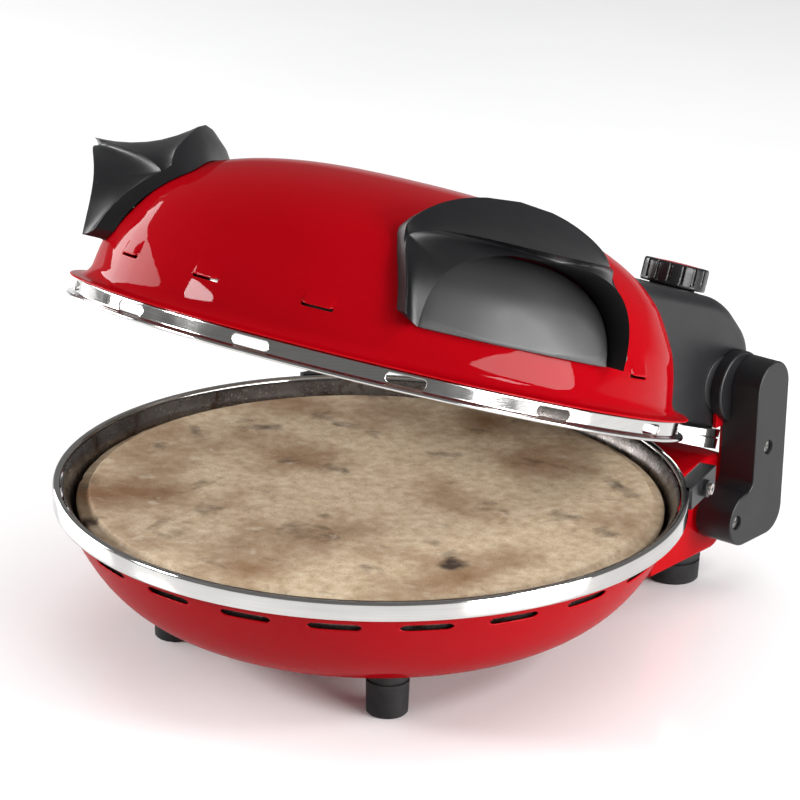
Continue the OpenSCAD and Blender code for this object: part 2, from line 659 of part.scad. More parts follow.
module thermostat_body() color([0.82, 0.8, 0.74]) on_lid() difference() {
    union() {
        translate([knob_x - 15, knob_y - 13, 132]) cube([30, 26, 14]);
        translate([knob_x, knob_y, 146]) cylinder(h = 4, r = 11);
    }
    translate([knob_x, knob_y, 139]) cylinder(h = 20, r = 3 + run);
    for (s = [-1, 1]) translate([knob_x + s * 8, knob_y, 144]) cylinder(h = 10, r = 1.5);
}

module thermostat_screws() color(steel) on_lid() for (s = [-1, 1])
    translate([knob_x + s * 8, knob_y, 168]) screw(2.6, 1.4, 1.5, 23.5);

module thermostat_bulb() color([0.72, 0.45, 0.3]) on_lid() {
    wire([[knob_x, knob_y - 6, 131], [knob_x, knob_y - 6, 118], [knob_x, 138, 118], [58, 138, 118]], 1);
    rod_x(6, 58, 138, 118, 3);
}

module lid_wires() color([0.85, 0.85, 0.82]) on_lid() {
    wire([[leg_x, 164, lip_z + leg_h], [leg_x, 172, 150], [knob_x - 17, 176, 141]], 1.4);
    wire([[-leg_x, 164, lip_z + leg_h], [-leg_x, 176, 140], [-60, 190, 118]], 1.4);
    wire([[knob_x - 17, 188, 138], [20, 196, 120], [-60, 196, 118]], 1.4);
}

module thermostat_shaft() color(steel) on_lid() translate([knob_x, knob_y, 140]) difference() {
    cylinder(h = 40, r = 3);
    translate([-5, 1.6, 32]) cube([10, 5, 12]);
}

module knob() color(black) on_lid() translate([knob_x, knob_y, knob_z]) difference() {
    rotate_extrude() polygon([[0, 0], [knob_r - 1, 0], [knob_r, 1], [knob_r, knob_h - 1.6],
        [knob_r - 1, knob_h], [knob_r - 3.4, knob_h], [knob_r - 4, knob_h - 0.8], [0, knob_h - 0.8]]);
    for (k = [0:knob_grooves - 1]) rotate([0, 0, k * 360 / knob_grooves])
        translate([knob_r + 0.3, 0, 2]) cylinder(h = knob_h, r = 1.2, $fn = 16);
    translate([0, 0, knob_h - 2.4]) cylinder(h = 5, r = cap_r + 0.1);
    difference() {
        translate([0, 0, -1]) cylinder(h = 10, r = 3);
        translate([-5, 1.6, 1.5]) cube([10, 5, 12]);
    }
    translate([0, 0, -1]) cylinder(h = 2.5, r = 14);
}

module knob_cap() color(red) on_lid() translate([knob_x, knob_y, knob_z + knob_h - 2.4]) difference() {
    rotate_extrude() polygon([[0, 0], [cap_r, 0], [cap_r, 2.2], [cap_r - 1.2, 2.7], [0, 3]]);
    translate([-0.8, -cap_r + 1.6, 2.1]) cube([1.6, 8, 2]);
}

// ---------- assembly ----------

base_shell();
rim_band();
base_dish();
stone();
stone_supports();
lower_element();
lower_element_clips();
element_bushes();
terminal_block();
terminal_screws();
base_wires();
cable_gland();
front_feet();
rear_feet();
foot_screws();
arm_cover_left();
arm_cover_right();
arm_screws();
hinge_bracket_left();
hinge_bracket_right();
bracket_screws();
hinge_pins();
pin_circlips();
friction_washers();
rim_clip_left();
rim_clip_right();
rim_clip_screws();
lid_dome();
lid_collar();
lid_reflector();
upper_element();
upper_element_clips();
handle_left();
handle_right();
handle_pad_left();
handle_pad_right();
handle_screws();
rear_housing();
hinge_link_left();
hinge_link_right();
thermostat_body();
thermostat_screws();
thermostat_bulb();
lid_wires();
thermostat_shaft();
knob();
knob_cap();
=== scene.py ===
"""Looks of the countertop pizza oven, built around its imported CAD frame.

Shapes are drawn in millimetres about the middle of the round base, with the lid shut, then placed
in the row frame: BASE for what stands on the table, LID for what opens with the lid.
"""

import json
import math

import bmesh
import bpy
from mathutils import Matrix, Vector, noise

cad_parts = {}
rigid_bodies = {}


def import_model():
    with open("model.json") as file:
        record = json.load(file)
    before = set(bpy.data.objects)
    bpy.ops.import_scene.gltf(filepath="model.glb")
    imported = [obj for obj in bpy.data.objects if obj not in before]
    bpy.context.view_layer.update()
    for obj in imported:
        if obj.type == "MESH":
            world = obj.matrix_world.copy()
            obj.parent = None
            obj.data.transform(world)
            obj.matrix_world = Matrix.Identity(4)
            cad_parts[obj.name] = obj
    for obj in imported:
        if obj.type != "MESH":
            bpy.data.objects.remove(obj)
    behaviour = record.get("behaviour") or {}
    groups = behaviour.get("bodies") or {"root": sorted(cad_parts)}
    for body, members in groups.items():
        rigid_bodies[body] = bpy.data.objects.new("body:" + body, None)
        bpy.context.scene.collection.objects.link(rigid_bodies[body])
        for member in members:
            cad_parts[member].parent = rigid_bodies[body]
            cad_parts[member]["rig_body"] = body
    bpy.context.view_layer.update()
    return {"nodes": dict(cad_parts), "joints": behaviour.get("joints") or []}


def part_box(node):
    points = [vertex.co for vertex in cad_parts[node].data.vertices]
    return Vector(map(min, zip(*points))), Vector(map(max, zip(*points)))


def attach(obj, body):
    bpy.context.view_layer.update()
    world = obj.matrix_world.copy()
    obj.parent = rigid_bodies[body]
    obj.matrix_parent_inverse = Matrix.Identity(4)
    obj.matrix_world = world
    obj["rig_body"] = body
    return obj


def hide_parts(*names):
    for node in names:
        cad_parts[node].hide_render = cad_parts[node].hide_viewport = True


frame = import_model()

# ---------- places taken from the frame ----------

MM = 0.001
JOINTS = {joint["name"]: joint for joint in frame["joints"]}
HINGE = Vector(JOINTS["lid_hinge"]["pos_m"])
OPENING = -math.radians(JOINTS["lid_hinge"]["range_deg"][0])
RIM_LOW, RIM_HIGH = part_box("rim_band")
CENTRE = Vector((0, (RIM_LOW.y + RIM_HIGH.y) / 2, 0))
BASE = Matrix.Translation(CENTRE) @ Matrix.Scale(MM, 4)
LID = (Matrix.Translation(HINGE)
       @ Matrix.Rotation(OPENING, 4, Vector(JOINTS["lid_hinge"]["axis"]))
       @ Matrix.Translation(-HINGE) @ BASE)

RIM_R = (RIM_HIGH.x - RIM_LOW.x) / 2 / MM
RIM_TOP = RIM_HIGH.z / MM
BOWL_TOP = 82
BOWL_R = RIM_R - 5
BOWL_FLOOR = 20
LIP_Z = RIM_TOP + 0.3
HINGE_Y = (HINGE.y - CENTRE.y) / MM
HINGE_Z = HINGE.z / MM
SHEET = 1.0


# ---------- mesh helpers ----------

def arc(centre, radius, start, end, steps=8):
    """Points on an arc, in degrees from the first axis."""
    angles = [math.radians(start + (end - start) * i / steps) for i in range(steps + 1)]
    return [(centre[0] + radius * math.cos(a), centre[1] + radius * math.sin(a)) for a in angles]


def columns(step, marks=()):
    """Angles of a full turn, about a step apart in degrees, with every mark among them."""
    marks = sorted({round(m % 360, 6) for m in marks})
    plain = [step * i for i in range(round(360 / step))]
    clear = [a for a in plain if all(abs((a - m + 180) % 360 - 180) > 0.4 * step for m in marks)]
    return sorted(clear + marks)


def lathe(profile, angles, is_open=None, shape=None):
    """A sheet turned round Z from (radius, height) points that run outwards and up, or up and inwards.
    Angles count from the front towards +X. Cells whose middle is_open(angle, height) stay open."""
    bm = bmesh.new()
    rows = []
    for radius, height in profile:
        if radius < 1e-6:
            rows.append([bm.verts.new((0, 0, height))] * len(angles))
            continue
        ring = []
        for degrees in angles:
            r, z = shape(radius, height, degrees) if shape else (radius, height)
            a = math.radians(degrees)
            ring.append(bm.verts.new((r * math.sin(a), -r * math.cos(a), z)))
        rows.append(ring)
    count = len(angles)
    for i in range(len(rows) - 1):
        height = (profile[i][1] + profile[i + 1][1]) / 2
        for j in range(count):
            after = (angles[(j + 1) % count] - angles[j]) % 360
            if is_open and is_open((angles[j] + after / 2) % 360, height):
                continue
            corners = [rows[i][j], rows[i][(j + 1) % count], rows[i + 1][(j + 1) % count], rows[i + 1][j]]
            bm.faces.new(list(dict.fromkeys(corners)))
    return bm


def loft(loops, fans=True):
    """A skin over closed loops of the same number of points, each end closed by a fan or one face."""
    bm = bmesh.new()
    rows = [[bm.verts.new(p) for p in loop] for loop in loops]
    count = len(rows[0])
    for near, far in zip(rows, rows[1:]):
        for j in range(count):
            k = (j + 1) % count
            bm.faces.new((near[j], near[k], far[k], far[j]))
    for row in (rows[0], rows[-1]):
        if not fans:
            bm.faces.new(row)
            continue
        middle = bm.verts.new(sum((v.co for v in row), Vector()) / count)
        for j in range(count):
            bm.faces.new((row[j], row[(j + 1) % count], middle))
    bmesh.ops.recalc_face_normals(bm, faces=bm.faces)
    return bm


def handed(bm, side):
    """The shape as drawn, for the right side, or its mirror image for the left (side -1)."""
    if side < 0:
        bm.transform(Matrix.Scale(-1, 4, (1, 0, 0)))
        bmesh.ops.reverse_faces(bm, faces=bm.faces)
    return bm


def joined(bm, other):
    """Adds the faces of one drawn shape to another."""
    mesh = bpy.data.meshes.new("joined")
    other.to_mesh(mesh)
    other.free()
    bm.from_mesh(mesh)
    bpy.data.meshes.remove(mesh)


def rounded_plate(outline, x0, x1, rounding):
    """A plate along X with its far edge rounded over. The outline function gives (Y, Z) points, inset."""
    steps = 5
    loops = [[(x0, y, z) for y, z in outline(0.0)]]
    for k in range(steps + 1):
        turn = math.radians(90 * k / steps)
        x = x1 - rounding * (1 - math.sin(turn))
        loops.append([(x, y, z) for y, z in outline(rounding * (1 - math.cos(turn)))])
    loops.append([(x1, y, z) for y, z in outline(rounding + 0.5)])
    return loft(loops, fans=False)


def piece(name, bm, place, body, look, replaces=()):
    """Puts a drawn shape into the scene as a piece that rides on a CAD body."""
    mesh = bpy.data.meshes.new(name)
    bm.to_mesh(mesh)
    bm.free()
    mesh.transform(place)
    mesh.shade_smooth()
    mesh.materials.append(look)
    made = bpy.data.objects.new(name, mesh)
    bpy.context.scene.collection.objects.link(made)
    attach(made, body)
    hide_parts(*replaces)
    return made


def thicken(made, millimetres):
    """Gives a sheet its thickness, on the side away from its normals."""
    solid = made.modifiers.new("thickness", "SOLIDIFY")
    solid.thickness = millimetres * MM
    solid.offset = -1
    solid.use_even_offset = True


def smoothed(made):
    smooth = made.modifiers.new("smooth", "SUBSURF")
    smooth.levels = smooth.render_levels = 1


def bevelled(made, millimetres):
    """Rounds the sharp edges."""
    bevel = made.modifiers.new("bevel", "BEVEL")
    bevel.width = millimetres * MM
    bevel.segments = 2
    bevel.limit_method = "ANGLE"
    bevel.angle_limit = math.radians(35)
    bevel.use_clamp_overlap = True
    bevel.harden_normals = True


def cut_by(made, cutter):
    """Takes the space of a closed shape out of a piece, then drops the shape."""
    boolean = made.modifiers.new("cut", "BOOLEAN")
    boolean.operation = "DIFFERENCE"
    boolean.solver = "EXACT"
    boolean.object = cutter
    bpy.context.view_layer.update()
    graph = bpy.context.evaluated_depsgraph_get()
    result = bpy.data.meshes.new_from_object(made.evaluated_get(graph))
    made.modifiers.clear()
    made.data = result
    bpy.data.objects.remove(cutter)


def cutter(name, bm, place):
    """A drawn shape as an object for cut_by to take away."""
    mesh = bpy.data.meshes.new(name)
    bm.to_mesh(mesh)
    bm.free()
    mesh.transform(place)
    made = bpy.data.objects.new(name, mesh)
    bpy.context.scene.collection.objects.link(made)
    return made


def softened(cad_node, width, look):
    """A copy of a CAD node with its edges rounded, which stands for the node."""
    source = frame["nodes"][cad_node]
    bm = bmesh.new()
    bm.from_mesh(source.data)
    bmesh.ops.remove_doubles(bm, verts=bm.verts, dist=1e-6)
    bmesh.ops.dissolve_limit(bm, angle_limit=math.radians(1), verts=bm.verts, edges=bm.edges)
    made = piece(f"{cad_node}_shaped", bm, Matrix.Identity(4), source["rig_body"], look, (cad_node,))
    bevelled(made, width)
    made.modifiers.new("flats", "WEIGHTED_NORMAL").keep_sharp = True


# ---------- material helpers ----------

def node(tree, kind, inputs=(), **settings):
    """Adds a shader node. An input given as a socket is linked, any other value is set."""
    made = tree.nodes.new("ShaderNode" + kind)
    for key, value in settings.items():
        setattr(made, key, value)
    for key, value in dict(inputs).items():
        if isinstance(value, bpy.types.NodeSocket):
            tree.links.new(value, made.inputs[key])
        else:
            made.inputs[key].default_value = value
    return made


def grain(tree, scale, detail=4, distortion=0.0):
    """Noise fixed to the piece, in features per metre."""
    where = node(tree, "TexCoord").outputs["Object"]
    return node(tree, "TexNoise", {"Vector": where, "Scale": scale, "Detail": detail,
                                   "Distortion": distortion}).outputs["Fac"]


def round_grain(tree, around, across):
    """Noise drawn out along the turns of a part spun about the oven's vertical axis."""
    where = node(tree, "TexCoord").outputs["Object"]
    local = node(tree, "VectorMath", {0: where, 1: tuple(CENTRE)}, operation="SUBTRACT").outputs[0]
    axes = node(tree, "SeparateXYZ", {0: local}).outputs
    angle = node(tree, "Math", {0: axes[0], 1: axes[1]}, operation="ARCTAN2").outputs[0]
    squares = [node(tree, "Math", {0: axes[i], 1: 2.0}, operation="POWER").outputs[0] for i in (0, 1)]
    square = node(tree, "Math", {0: squares[0], 1: squares[1]}, operation="ADD").outputs[0]
    radius = node(tree, "Math", {0: square, 1: 0.5}, operation="POWER").outputs[0]
    drawn = [node(tree, "Math", {0: s, 1: k}, operation="MULTIPLY").outputs[0]
             for s, k in ((angle, around), (radius, across), (axes[2], across))]
    place = node(tree, "CombineXYZ", {0: drawn[0], 1: drawn[1], 2: drawn[2]}).outputs[0]
    return node(tree, "TexNoise", {"Vector": place, "Scale": 1.0, "Detail": 3.0}).outputs["Fac"]


def ramp(tree, factor, stops):
    """Colours along a factor, from (place, colour) stops."""
    made = node(tree, "ValToRGB", {"Fac": factor})
    elements = made.color_ramp.elements
    while len(elements) < len(stops):
        elements.new(0.5)
    for element, (place, colour) in zip(elements, stops):
        element.position = place
        element.color = (*colour, 1)
    return made.outputs["Color"]


def level(tree, factor, low, high, start=0.0, end=1.0):
    """A factor spread over the range from low to high."""
    return node(tree, "MapRange", {"Value": factor, "From Min": start, "From Max": end,
                                   "To Min": low, "To Max": high}).outputs[0]


def blend(tree, factor, one, two, how="MIX"):
    """Two colours mixed by a factor. Each may be a socket or a plain value."""
    made = node(tree, "Mix", data_type="RGBA", blend_type=how)
    for socket, value in ((made.inputs[0], factor), (made.inputs[6], one), (made.inputs[7], two)):
        if isinstance(value, bpy.types.NodeSocket):
            tree.links.new(value, socket)
        else:
            socket.default_value = value if isinstance(value, float) else (*value, 1)
    return made.outputs[2]


def edges(tree, low, high):
    """Where the surface is sharply convex: the mask along which edges are painted lighter."""
    return level(tree, node(tree, "NewGeometry").outputs["Pointiness"], 0.0, 1.0, low, high)


def surface(name, colour, roughness, bumps=(), **fixed):
    """A material from a colour and a roughness, each a function of the tree, and bumps given as
    (height, distance, strength). What is the same all over goes in by the name of its socket."""
    made = bpy.data.materials.new(name)
    made.use_nodes = True
    tree = made.node_tree
    shader = tree.nodes["Principled BSDF"]
    tree.links.new(colour(tree), shader.inputs["Base Color"])
    tree.links.new(roughness(tree), shader.inputs["Roughness"])
    for key, value in fixed.items():
        shader.inputs[key.replace("_", " ")].default_value = value
    normal = None
    for height, distance, strength in bumps:
        bump = node(tree, "Bump", {"Height": height(tree), "Distance": distance, "Strength": strength})
        if normal:
            tree.links.new(normal, bump.inputs["Normal"])
        normal = bump.outputs["Normal"]
    if normal:
        tree.links.new(normal, shader.inputs["Normal"])
    return made


# ---------- materials ----------

def red_enamel():
    def colour(tree):
        broad = ramp(tree, grain(tree, 9), [(0.3, (0.25, 0.0004, 0.003)), (0.7, (0.29, 0.0008, 0.004))])
        fine = ramp(tree, grain(tree, 2600, 2), [(0.35, (0.93, 0.9, 0.9)), (0.65, (1.0, 1.0, 1.0))])
        deep = blend(tree, 1.0, broad, fine, "MULTIPLY")
        # Painted highlight: a lighter red along the sharply convex edges.
        return blend(tree, edges(tree, 0.51, 0.6), deep, (0.40, 0.004, 0.006))
    return surface("red_enamel", colour, lambda t: level(t, grain(t, 40), 0.2, 0.34),
                   [(lambda t: grain(t, 480, 2), 0.0002, 0.05), (lambda t: grain(t, 60, 2), 0.001, 0.03)],
                   Coat_Weight=0.3, Coat_Roughness=0.03, Coat_IOR=1.35, Specular_IOR_Level=0.0)


def polished_steel():
    tint = (0.60, 0.59, 0.575)

    def colour(tree):
        patches = ramp(tree, grain(tree, 24, 5), [(0.35, [c * 0.9 for c in tint]), (0.65, tint)])
        lines = ramp(tree, round_grain(tree, 3, 2600), [(0.4, (0.9, 0.9, 0.9)), (0.6, (1, 1, 1))])
        return blend(tree, 1.0, patches, lines, "MULTIPLY")
    return surface("polished_steel", colour, lambda t: level(t, grain(t, 60, 6), 0.05, 0.14, 0.3, 0.7),
                   [(lambda t: round_grain(t, 4, 1800), 0.0002, 0.05)], Metallic=1.0)


def dish_steel():
    def colour(tree):
        base = ramp(tree, grain(tree, 30, 6), [(0.3, (0.10, 0.085, 0.08)), (0.7, (0.24, 0.22, 0.21))])
        specks = ramp(tree, grain(tree, 900, 2), [(0.60, (0, 0, 0)), (0.70, (1, 1, 1))])
        flecked = blend(tree, specks, base, (0.40, 0.36, 0.33))
        stains = ramp(tree, grain(tree, 55, 8, distortion=1.5), [(0.56, (0, 0, 0)), (0.72, (1, 1, 1))])
        return blend(tree, stains, flecked, (0.075, 0.035, 0.02))
    return surface("dish_steel", colour, lambda t: level(t, grain(t, 80, 6), 0.14, 0.42),
                   [(lambda t: grain(t, 700, 3), 0.0003, 0.12)], Metallic=0.9)


def baking_stone():
    def colour(tree):
        body = ramp(tree, grain(tree, 160, 8), [(0.25, (0.42, 0.30, 0.19)), (0.5, (0.56, 0.43, 0.29)),
                                                (0.75, (0.68, 0.56, 0.41))])
        toast = ramp(tree, grain(tree, 15, 8, distortion=0.2), [(0.44, (0, 0, 0)), (0.70, (1, 1, 1))])
        baked = blend(tree, toast, body, (0.22, 0.11, 0.045))
        burns = ramp(tree, grain(tree, 34, 9, distortion=0.3), [(0.60, (0, 0, 0)), (0.74, (1, 1, 1))])
        burnt = blend(tree, burns, baked, (0.035, 0.018, 0.01))
        pits = ramp(tree, grain(tree, 1400, 3), [(0.30, (0.45, 0.38, 0.3)), (0.42, (1, 1, 1))])
        pitted = blend(tree, 1.0, burnt, pits, "MULTIPLY")
        flour = ramp(tree, grain(tree, 70, 10, distortion=0.3), [(0.63, (0, 0, 0)), (0.78, (0.5, 0.5, 0.5))])
        return blend(tree, flour, pitted, (0.78, 0.70, 0.58))
    return surface("baking_stone", colour, lambda t: level(t, grain(t, 90, 5), 0.62, 0.92),
                   [(lambda t: grain(t, 220, 8), 0.0012, 0.35), (lambda t: grain(t, 1500, 3), 0.0004, 0.5)])


def moulded_black(name, shade, rough, peel=0.12):
    """Moulded plastic with a fine spark-eroded texture, and a painted highlight: slightly lighter convex
    edges.
    """
    def colour(tree):
        dark = [c * 0.85 for c in shade]
        broad = ramp(tree, grain(tree, 35, 5), [(0.3, dark), (0.7, shade)])
        dusty = ramp(tree, grain(tree, 420, 6), [(0.66, (0, 0, 0)), (0.86, (0.16, 0.16, 0.16))])
        dusted = blend(tree, dusty, broad, (0.20, 0.20, 0.20))
        # Painted highlight: the sharply convex edges are made lighter.
        return blend(tree, edges(tree, 0.53, 0.66), dusted, [c * 2.2 for c in shade])
    return surface(name, colour, lambda t: level(t, grain(t, 50, 6), *rough, 0.3, 0.7),
                   [(lambda t: grain(t, 3200, 2), 0.0002, peel), (lambda t: grain(t, 90, 3), 0.0006, 0.04)],
                   Specular_IOR_Level=0.35)


def rubber():
    def colour(tree):
        dust = ramp(tree, grain(tree, 120, 8), [(0.4, (0.005, 0.005, 0.006)),
                                                (0.75, (0.016, 0.016, 0.016))])
        return blend(tree, edges(tree, 0.52, 0.62), dust, (0.03, 0.03, 0.03))
    return surface("rubber", colour, lambda t: level(t, grain(t, 150, 4), 0.55, 0.8),
                   [(lambda t: grain(t, 1800, 3), 0.0003, 0.25)], Specular_IOR_Level=0.25)


def fastener_steel():
    def colour(tree):
        return ramp(tree, grain(tree, 260, 6), [(0.3, (0.38, 0.37, 0.35)), (0.7, (0.72, 0.71, 0.69))])
    return surface("fastener_steel", colour, lambda t: level(t, grain(t, 700, 4), 0.16, 0.42),
                   [(lambda t: grain(t, 2200, 2), 0.0001, 0.2)], Metallic=1.0)


def element_tube():
    def colour(tree):
        scale = ramp(tree, grain(tree, 70, 8), [(0.3, (0.05, 0.042, 0.038)), (0.55, (0.12, 0.10, 0.09)),
                                                (0.8, (0.20, 0.15, 0.11))])
        ash = ramp(tree, grain(tree, 600, 5), [(0.62, (0, 0, 0)), (0.8, (0.4, 0.4, 0.4))])
        return blend(tree, ash, scale, (0.32, 0.30, 0.28))
    return surface("element_tube", colour, lambda t: level(t, grain(t, 200, 5), 0.4, 0.75),
                   [(lambda t: grain(t, 1200, 4), 0.0003, 0.3)], Metallic=0.6)


def reflector():
    def colour(tree):
        sheet = ramp(tree, grain(tree, 26, 6), [(0.3, (0.46, 0.45, 0.44)), (0.7, (0.66, 0.65, 0.63))])
        heat = ramp(tree, grain(tree, 14, 7, distortion=0.6), [(0.5, (0, 0, 0)), (0.8, (0.8, 0.8, 0.8))])
        return blend(tree, heat, sheet, (0.30, 0.20, 0.11))
    return surface("reflector", colour, lambda t: level(t, grain(t, 120, 5), 0.2, 0.45),
                   [(lambda t: grain(t, 400, 3), 0.0004, 0.12)], Metallic=1.0)


def white_ceramic():
    def colour(tree):
        body = ramp(tree, grain(tree, 300, 6), [(0.3, (0.66, 0.62, 0.53)), (0.7, (0.80, 0.78, 0.71))])
        soot = ramp(tree, grain(tree, 90, 7), [(0.55, (0, 0, 0)), (0.85, (0.5, 0.5, 0.5))])
        return blend(tree, soot, body, (0.34, 0.28, 0.2))
    return surface("white_ceramic", colour, lambda t: level(t, grain(t, 400, 3), 0.45, 0.7),
                   [(lambda t: grain(t, 1500, 3), 0.0002, 0.2)])


def drawn_metal(name, one, two):
    def colour(tree):
        return ramp(tree, grain(tree, 180, 6), [(0.3, one), (0.7, two)])
    return surface(name, colour, lambda t: level(t, grain(t, 500, 4), 0.2, 0.45),
                   [(lambda t: grain(t, 1500, 3), 0.0001, 0.15)], Metallic=1.0)


def glass_sleeve():
    def colour(tree):
        weave = node(tree, "TexVoronoi", {"Vector": node(tree, "TexCoord").outputs["Object"], "Scale": 900.0})
        return ramp(tree, weave.outputs["Distance"], [(0.1, (0.72, 0.70, 0.64)), (0.6, (0.5, 0.48, 0.42))])
    return surface("glass_sleeve", colour, lambda t: level(t, grain(t, 300), 0.6, 0.85),
                   [(lambda t: grain(t, 1100, 3), 0.0003, 0.4)])


def studio_floor():
    def colour(tree):
        return ramp(tree, grain(tree, 2.2, 5), [(0.3, (0.84, 0.84, 0.845)), (0.7, (0.88, 0.88, 0.88))])
    return surface("studio_floor", colour, lambda t: level(t, grain(t, 5, 6), 0.13, 0.2))


RED = red_enamel()
STEEL = polished_steel()
DISH = dish_steel()
STONE = baking_stone()
BLACK = moulded_black("black_plastic", (0.008, 0.008, 0.009), (0.32, 0.42))
# The black plastic made lighter for the pad in the finger pocket: painted light, where light falls on the
# pocket's floor.
LIT_PAD_BLACK = moulded_black("grey_plastic", (0.05, 0.049, 0.05), (0.34, 0.46))
KNOB = moulded_black("knob_plastic", (0.008, 0.008, 0.009), (0.2, 0.32), 0.05)
RUBBER = rubber()
FASTENER = fastener_steel()
ELEMENT = element_tube()
REFLECTOR = reflector()
CERAMIC = white_ceramic()
COPPER = drawn_metal("copper", (0.48, 0.20, 0.11), (0.66, 0.33, 0.20))
BRASS = drawn_metal("brass", (0.48, 0.33, 0.12), (0.70, 0.52, 0.22))
SLEEVE = glass_sleeve()


# ---------- base ----------

BOWL_CURVE = 7      # the bowl's height grows as this power of its radius


def bowl_radius(z):
    return BOWL_R * math.pow((z - BOWL_FLOOR) / (BOWL_TOP - BOWL_FLOOR), 1 / BOWL_CURVE)


SLOT_PITCH = 360 / 22
SLOT_HALF = math.degrees(14.5 / BOWL_R)
SLOT_CORNER, SLOT_ROUND = 0.4, 1.1      # the cut corners of a slot, in degrees along and in mm up
SLOT_LOW, SLOT_HIGH = 72.2, 76.2
SLOT_REACH = 7      # slots to each side of the front one


def bowl():
    def is_open(angle, z):
        slot = round(((angle + 180) % 360 - 180) / SLOT_PITCH)
        off = abs((angle - slot * SLOT_PITCH + 180) % 360 - 180)
        if abs(slot) > SLOT_REACH or off > SLOT_HALF or not SLOT_LOW < z < SLOT_HIGH:
            return False
        return off < SLOT_HALF - SLOT_CORNER or SLOT_LOW + SLOT_ROUND < z < SLOT_HIGH - SLOT_ROUND

    marks = [k * SLOT_PITCH + side * (SLOT_HALF + edge) for k in range(-SLOT_REACH, SLOT_REACH + 1)
             for side in (-1, 1) for edge in (-SLOT_CORNER, 0, SLOT_CORNER)]
    steps = 22
    low = [(BOWL_R * math.sqrt(i / steps),
            BOWL_FLOOR + (BOWL_TOP - BOWL_FLOOR) * math.pow(i / steps, BOWL_CURVE / 2))
           for i in range(steps + 1)]
    heights = [68, 71, SLOT_LOW, SLOT_LOW + SLOT_ROUND, SLOT_HIGH - SLOT_ROUND, SLOT_HIGH, 77.4, 79.5,
               BOWL_TOP - 0.3]
    profile = [p for p in low if p[1] < heights[0] - 2] + [(bowl_radius(z), z) for z in heights]
    made = piece("bowl_shell", lathe(profile, columns(2.4, marks), is_open), BASE,
                 "base", RED, ("base_shell",))
    thicken(made, SHEET)
    smoothed(made)


NECK_HALF, NECK_ROUNDING, NECK_STEPS = 104, 3, 4


def neck_outline(inset):
    """(Y, Z) points from the neck's front foot, round its back and over the ridge down its sloping top."""
    return ([(116, 60), (132, BOWL_FLOOR + inset)]
            + arc((193, BOWL_FLOOR + 12), 12 - inset, -90, 0)
            + arc((195, 69.6), 10 - inset, 0, 90)
            + [(186, 79.6 - inset), (183.6, 79.4 - inset), (181.5, 79 - inset), (178, 78.4 - inset),
               (128, 71 - inset)])


def bowl_neck():
    """The block behind the bowl that carries the hinge, open where the bowl is."""
    loops = []
    for side in (-1, 1):
        steps = range(NECK_STEPS + 1) if side < 0 else range(NECK_STEPS, -1, -1)
        for k in steps:
            turn = math.radians(90 * k / NECK_STEPS)
            x = side * (NECK_HALF - NECK_ROUNDING * (1 - math.cos(turn)))
            loops.append([(x, y, z) for y, z in neck_outline(NECK_ROUNDING * (1 - math.sin(turn)))])
    made = piece("bowl_neck", loft(loops), BASE, "base", RED)
    inside = lathe([(0, BOWL_FLOOR + 0.4)]
                   + [(bowl_radius(BOWL_FLOOR + h) - 0.5, BOWL_FLOOR + h)
                      for h in (0.6, 3, 8, 16, 28, 42, 56)]
                   + [(BOWL_R - 0.5, 90), (0, 90)], columns(3))
    cut_by(made, cutter("bowl_space", inside, BASE))
    made.data.set_sharp_from_angle(angle=math.radians(40))


RIM_ROLL = 2.2


def rim():
    """The bright band round the bowl, rolled over at its top."""
    lip = (RIM_R - RIM_ROLL, RIM_TOP - RIM_ROLL)
    outer = ([(BOWL_R + 0.2, BOWL_TOP - 0.4), (RIM_R - 0.7, BOWL_TOP - 0.4), (RIM_R - 0.1, BOWL_TOP),
              (RIM_R, BOWL_TOP + 1), (RIM_R, BOWL_TOP + 4)] + arc(lip, RIM_ROLL, 0, 172, 14)
             + [(RIM_R - 5, BOWL_TOP + 4.5), (RIM_R - 5, BOWL_TOP + 4), (RIM_R - 4.6, BOWL_TOP + 3.9)])
    inner = (arc(lip, RIM_ROLL - SHEET, 172, 0, 8)
             + [(RIM_R - SHEET, BOWL_TOP + 1), (RIM_R - SHEET - 0.4, BOWL_TOP + 0.6),
                (BOWL_R + 0.2, BOWL_TOP + 0.6)])
    profile = outer + inner
    piece("rim_band_shaped", lathe(profile + profile[:1], columns(1.5)), BASE,
          "base", STEEL, ("rim_band",))


def dish():
    """The dark pan inside the bowl, under the stone."""
    profile = [(0, 59), (60, 59), (120, 59), (144, 59.1), (150, 59.6), (156, 61.2), (160, 64.5),
               (163, 69), (165.3, 73), (166.3, 76.5), (167, 80), (168.6, 84), (170.2, 87.2),
               (171.4, 89.3), (172.4, 90.8)]
    made = piece("dish_shaped", lathe(list(reversed(profile)), columns(2.5)), BASE,
                 "base", DISH, ("base_dish",))
    thicken(made, 0.9)
    smoothed(made)


STONE_R, STONE_TOP, STONE_THICK = 165, 86, 12


